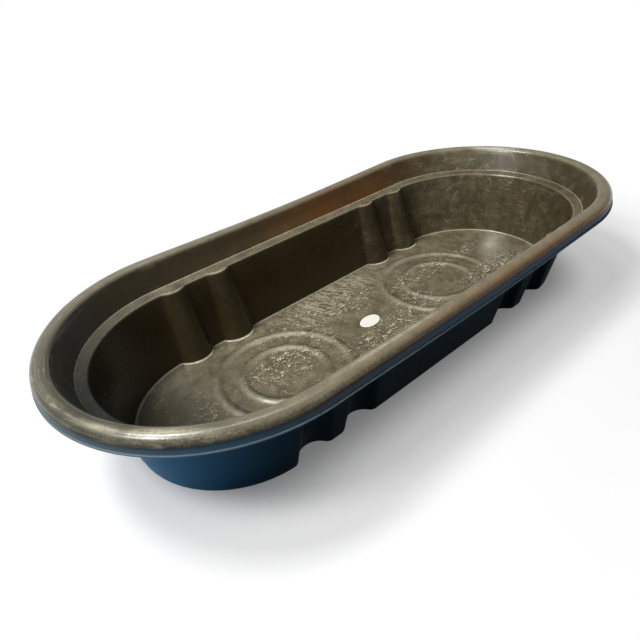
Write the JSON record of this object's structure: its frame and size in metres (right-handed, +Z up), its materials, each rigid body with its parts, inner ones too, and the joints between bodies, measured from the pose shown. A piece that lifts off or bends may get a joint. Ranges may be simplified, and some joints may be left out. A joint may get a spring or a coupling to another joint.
{
  "type": "livestock water trough",
  "caption": "Oval moulded plastic water trough for livestock, with a rolled rim, a ledge round the mouth, fluted sides, a ringed floor and a blank oval label.",
  "frame": {"origin": "middle of the trough's footprint, on the ground", "axes": "+X along the length, +Y across the width, +Z up"},
  "size_m": [1.2998, 0.59, 0.222],
  "materials": {
    "moulding": "moulded recycled polyethylene, satin, with faint flow swirls",
    "label": "satin white vinyl, unprinted"
  },
  "bodies": {
    "root": {"trough_moulding": "moulding", "floor_label": "label"}
  },
  "joints": []
}
